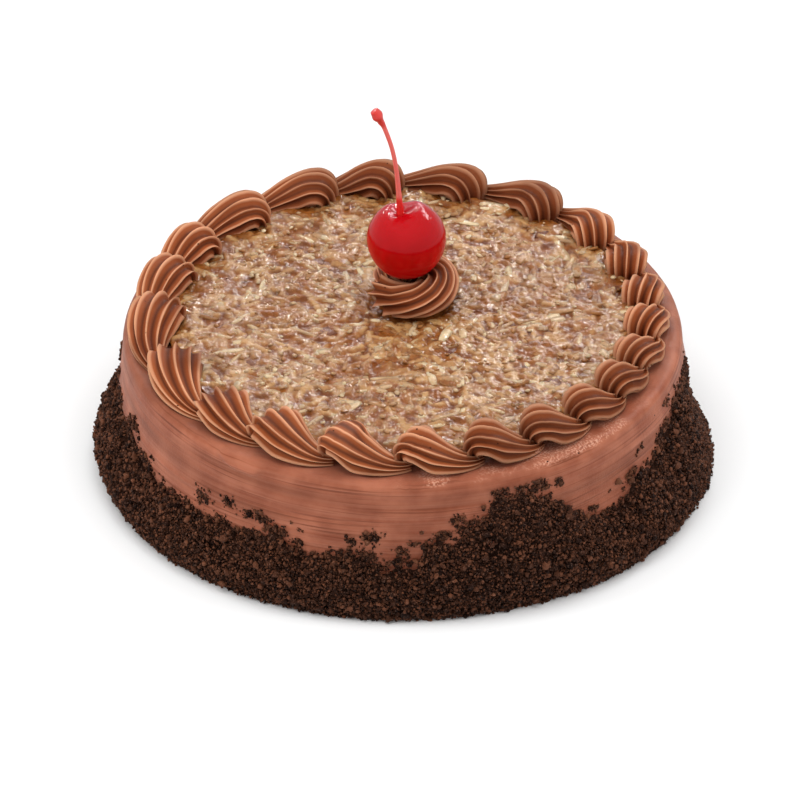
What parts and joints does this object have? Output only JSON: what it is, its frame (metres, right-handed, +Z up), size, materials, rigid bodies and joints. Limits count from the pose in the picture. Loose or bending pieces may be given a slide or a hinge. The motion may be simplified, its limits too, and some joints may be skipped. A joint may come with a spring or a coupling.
{
  "type": "german chocolate cake",
  "caption": "Whole round frosted layer cake with a crumb-coated foot, piped shell border, coconut and pecan topping, and a rosette with a stemmed cherry.",
  "frame": {"origin": "middle of the flat bottom, under the centre of the frosted layer", "axes": "+Z up, -Y towards the side that the picture shows, +X to its right"},
  "size_m": [0.241, 0.2334, 0.145],
  "materials": {
    "chocolate_frosting": "whipped chocolate frosting, satin",
    "crumb_coat": "dry dark chocolate cake crumbs, matt",
    "coconut_topping": "sticky caramel with coconut shreds and pecan bits, glossy",
    "cherry_flesh": "candied cherry, wet gloss",
    "cherry_stem": "dyed cherry stalk, satin"
  },
  "bodies": {
    "root": {"cake": "chocolate_frosting", "coconut_topping": "coconut_topping", "rosette": "chocolate_frosting", "cherry": "cherry_flesh", "stem": "cherry_stem", "shell_01": "chocolate_frosting", "shell_02": "chocolate_frosting", "shell_03": "chocolate_frosting", "shell_04": "chocolate_frosting", "shell_05": "chocolate_frosting", "shell_06": "chocolate_frosting", "shell_07": "chocolate_frosting", "shell_08": "chocolate_frosting", "shell_09": "chocolate_frosting", "shell_10": "chocolate_frosting", "shell_11": "chocolate_frosting", "shell_12": "chocolate_frosting", "shell_13": "chocolate_frosting", "shell_14": "chocolate_frosting", "shell_15": "chocolate_frosting", "shell_16": "chocolate_frosting", "shell_17": "chocolate_frosting", "shell_18": "chocolate_frosting", "shell_19": "chocolate_frosting", "shell_20": "chocolate_frosting", "shell_21": "chocolate_frosting", "shell_22": "chocolate_frosting"}
  },
  "joints": []
}
